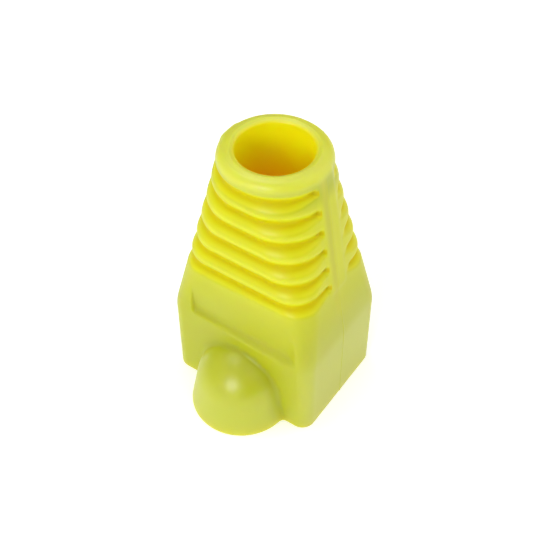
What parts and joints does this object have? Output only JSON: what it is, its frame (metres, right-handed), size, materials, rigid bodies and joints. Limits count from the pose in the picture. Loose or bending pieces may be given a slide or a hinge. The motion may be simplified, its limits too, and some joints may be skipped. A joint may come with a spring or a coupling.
{
  "type": "rj45 strain relief boot",
  "caption": "Soft slip-on boot for a modular plug: a box-shaped grip with a latch bubble on its front and a ribbed taper that ends in a round cable hole.",
  "frame": {"origin": "on the cable's axis, in the plane of the open plug end", "axes": "+Z from the plug end up to the cable's exit, +X along the wide faces, -Y out of the face with the latch bubble"},
  "size_m": [0.0136, 0.0145, 0.0239],
  "materials": {
    "boot": "soft moulded PVC, semi-matt"
  },
  "bodies": {
    "root": {"boot": "boot"}
  },
  "joints": []
}
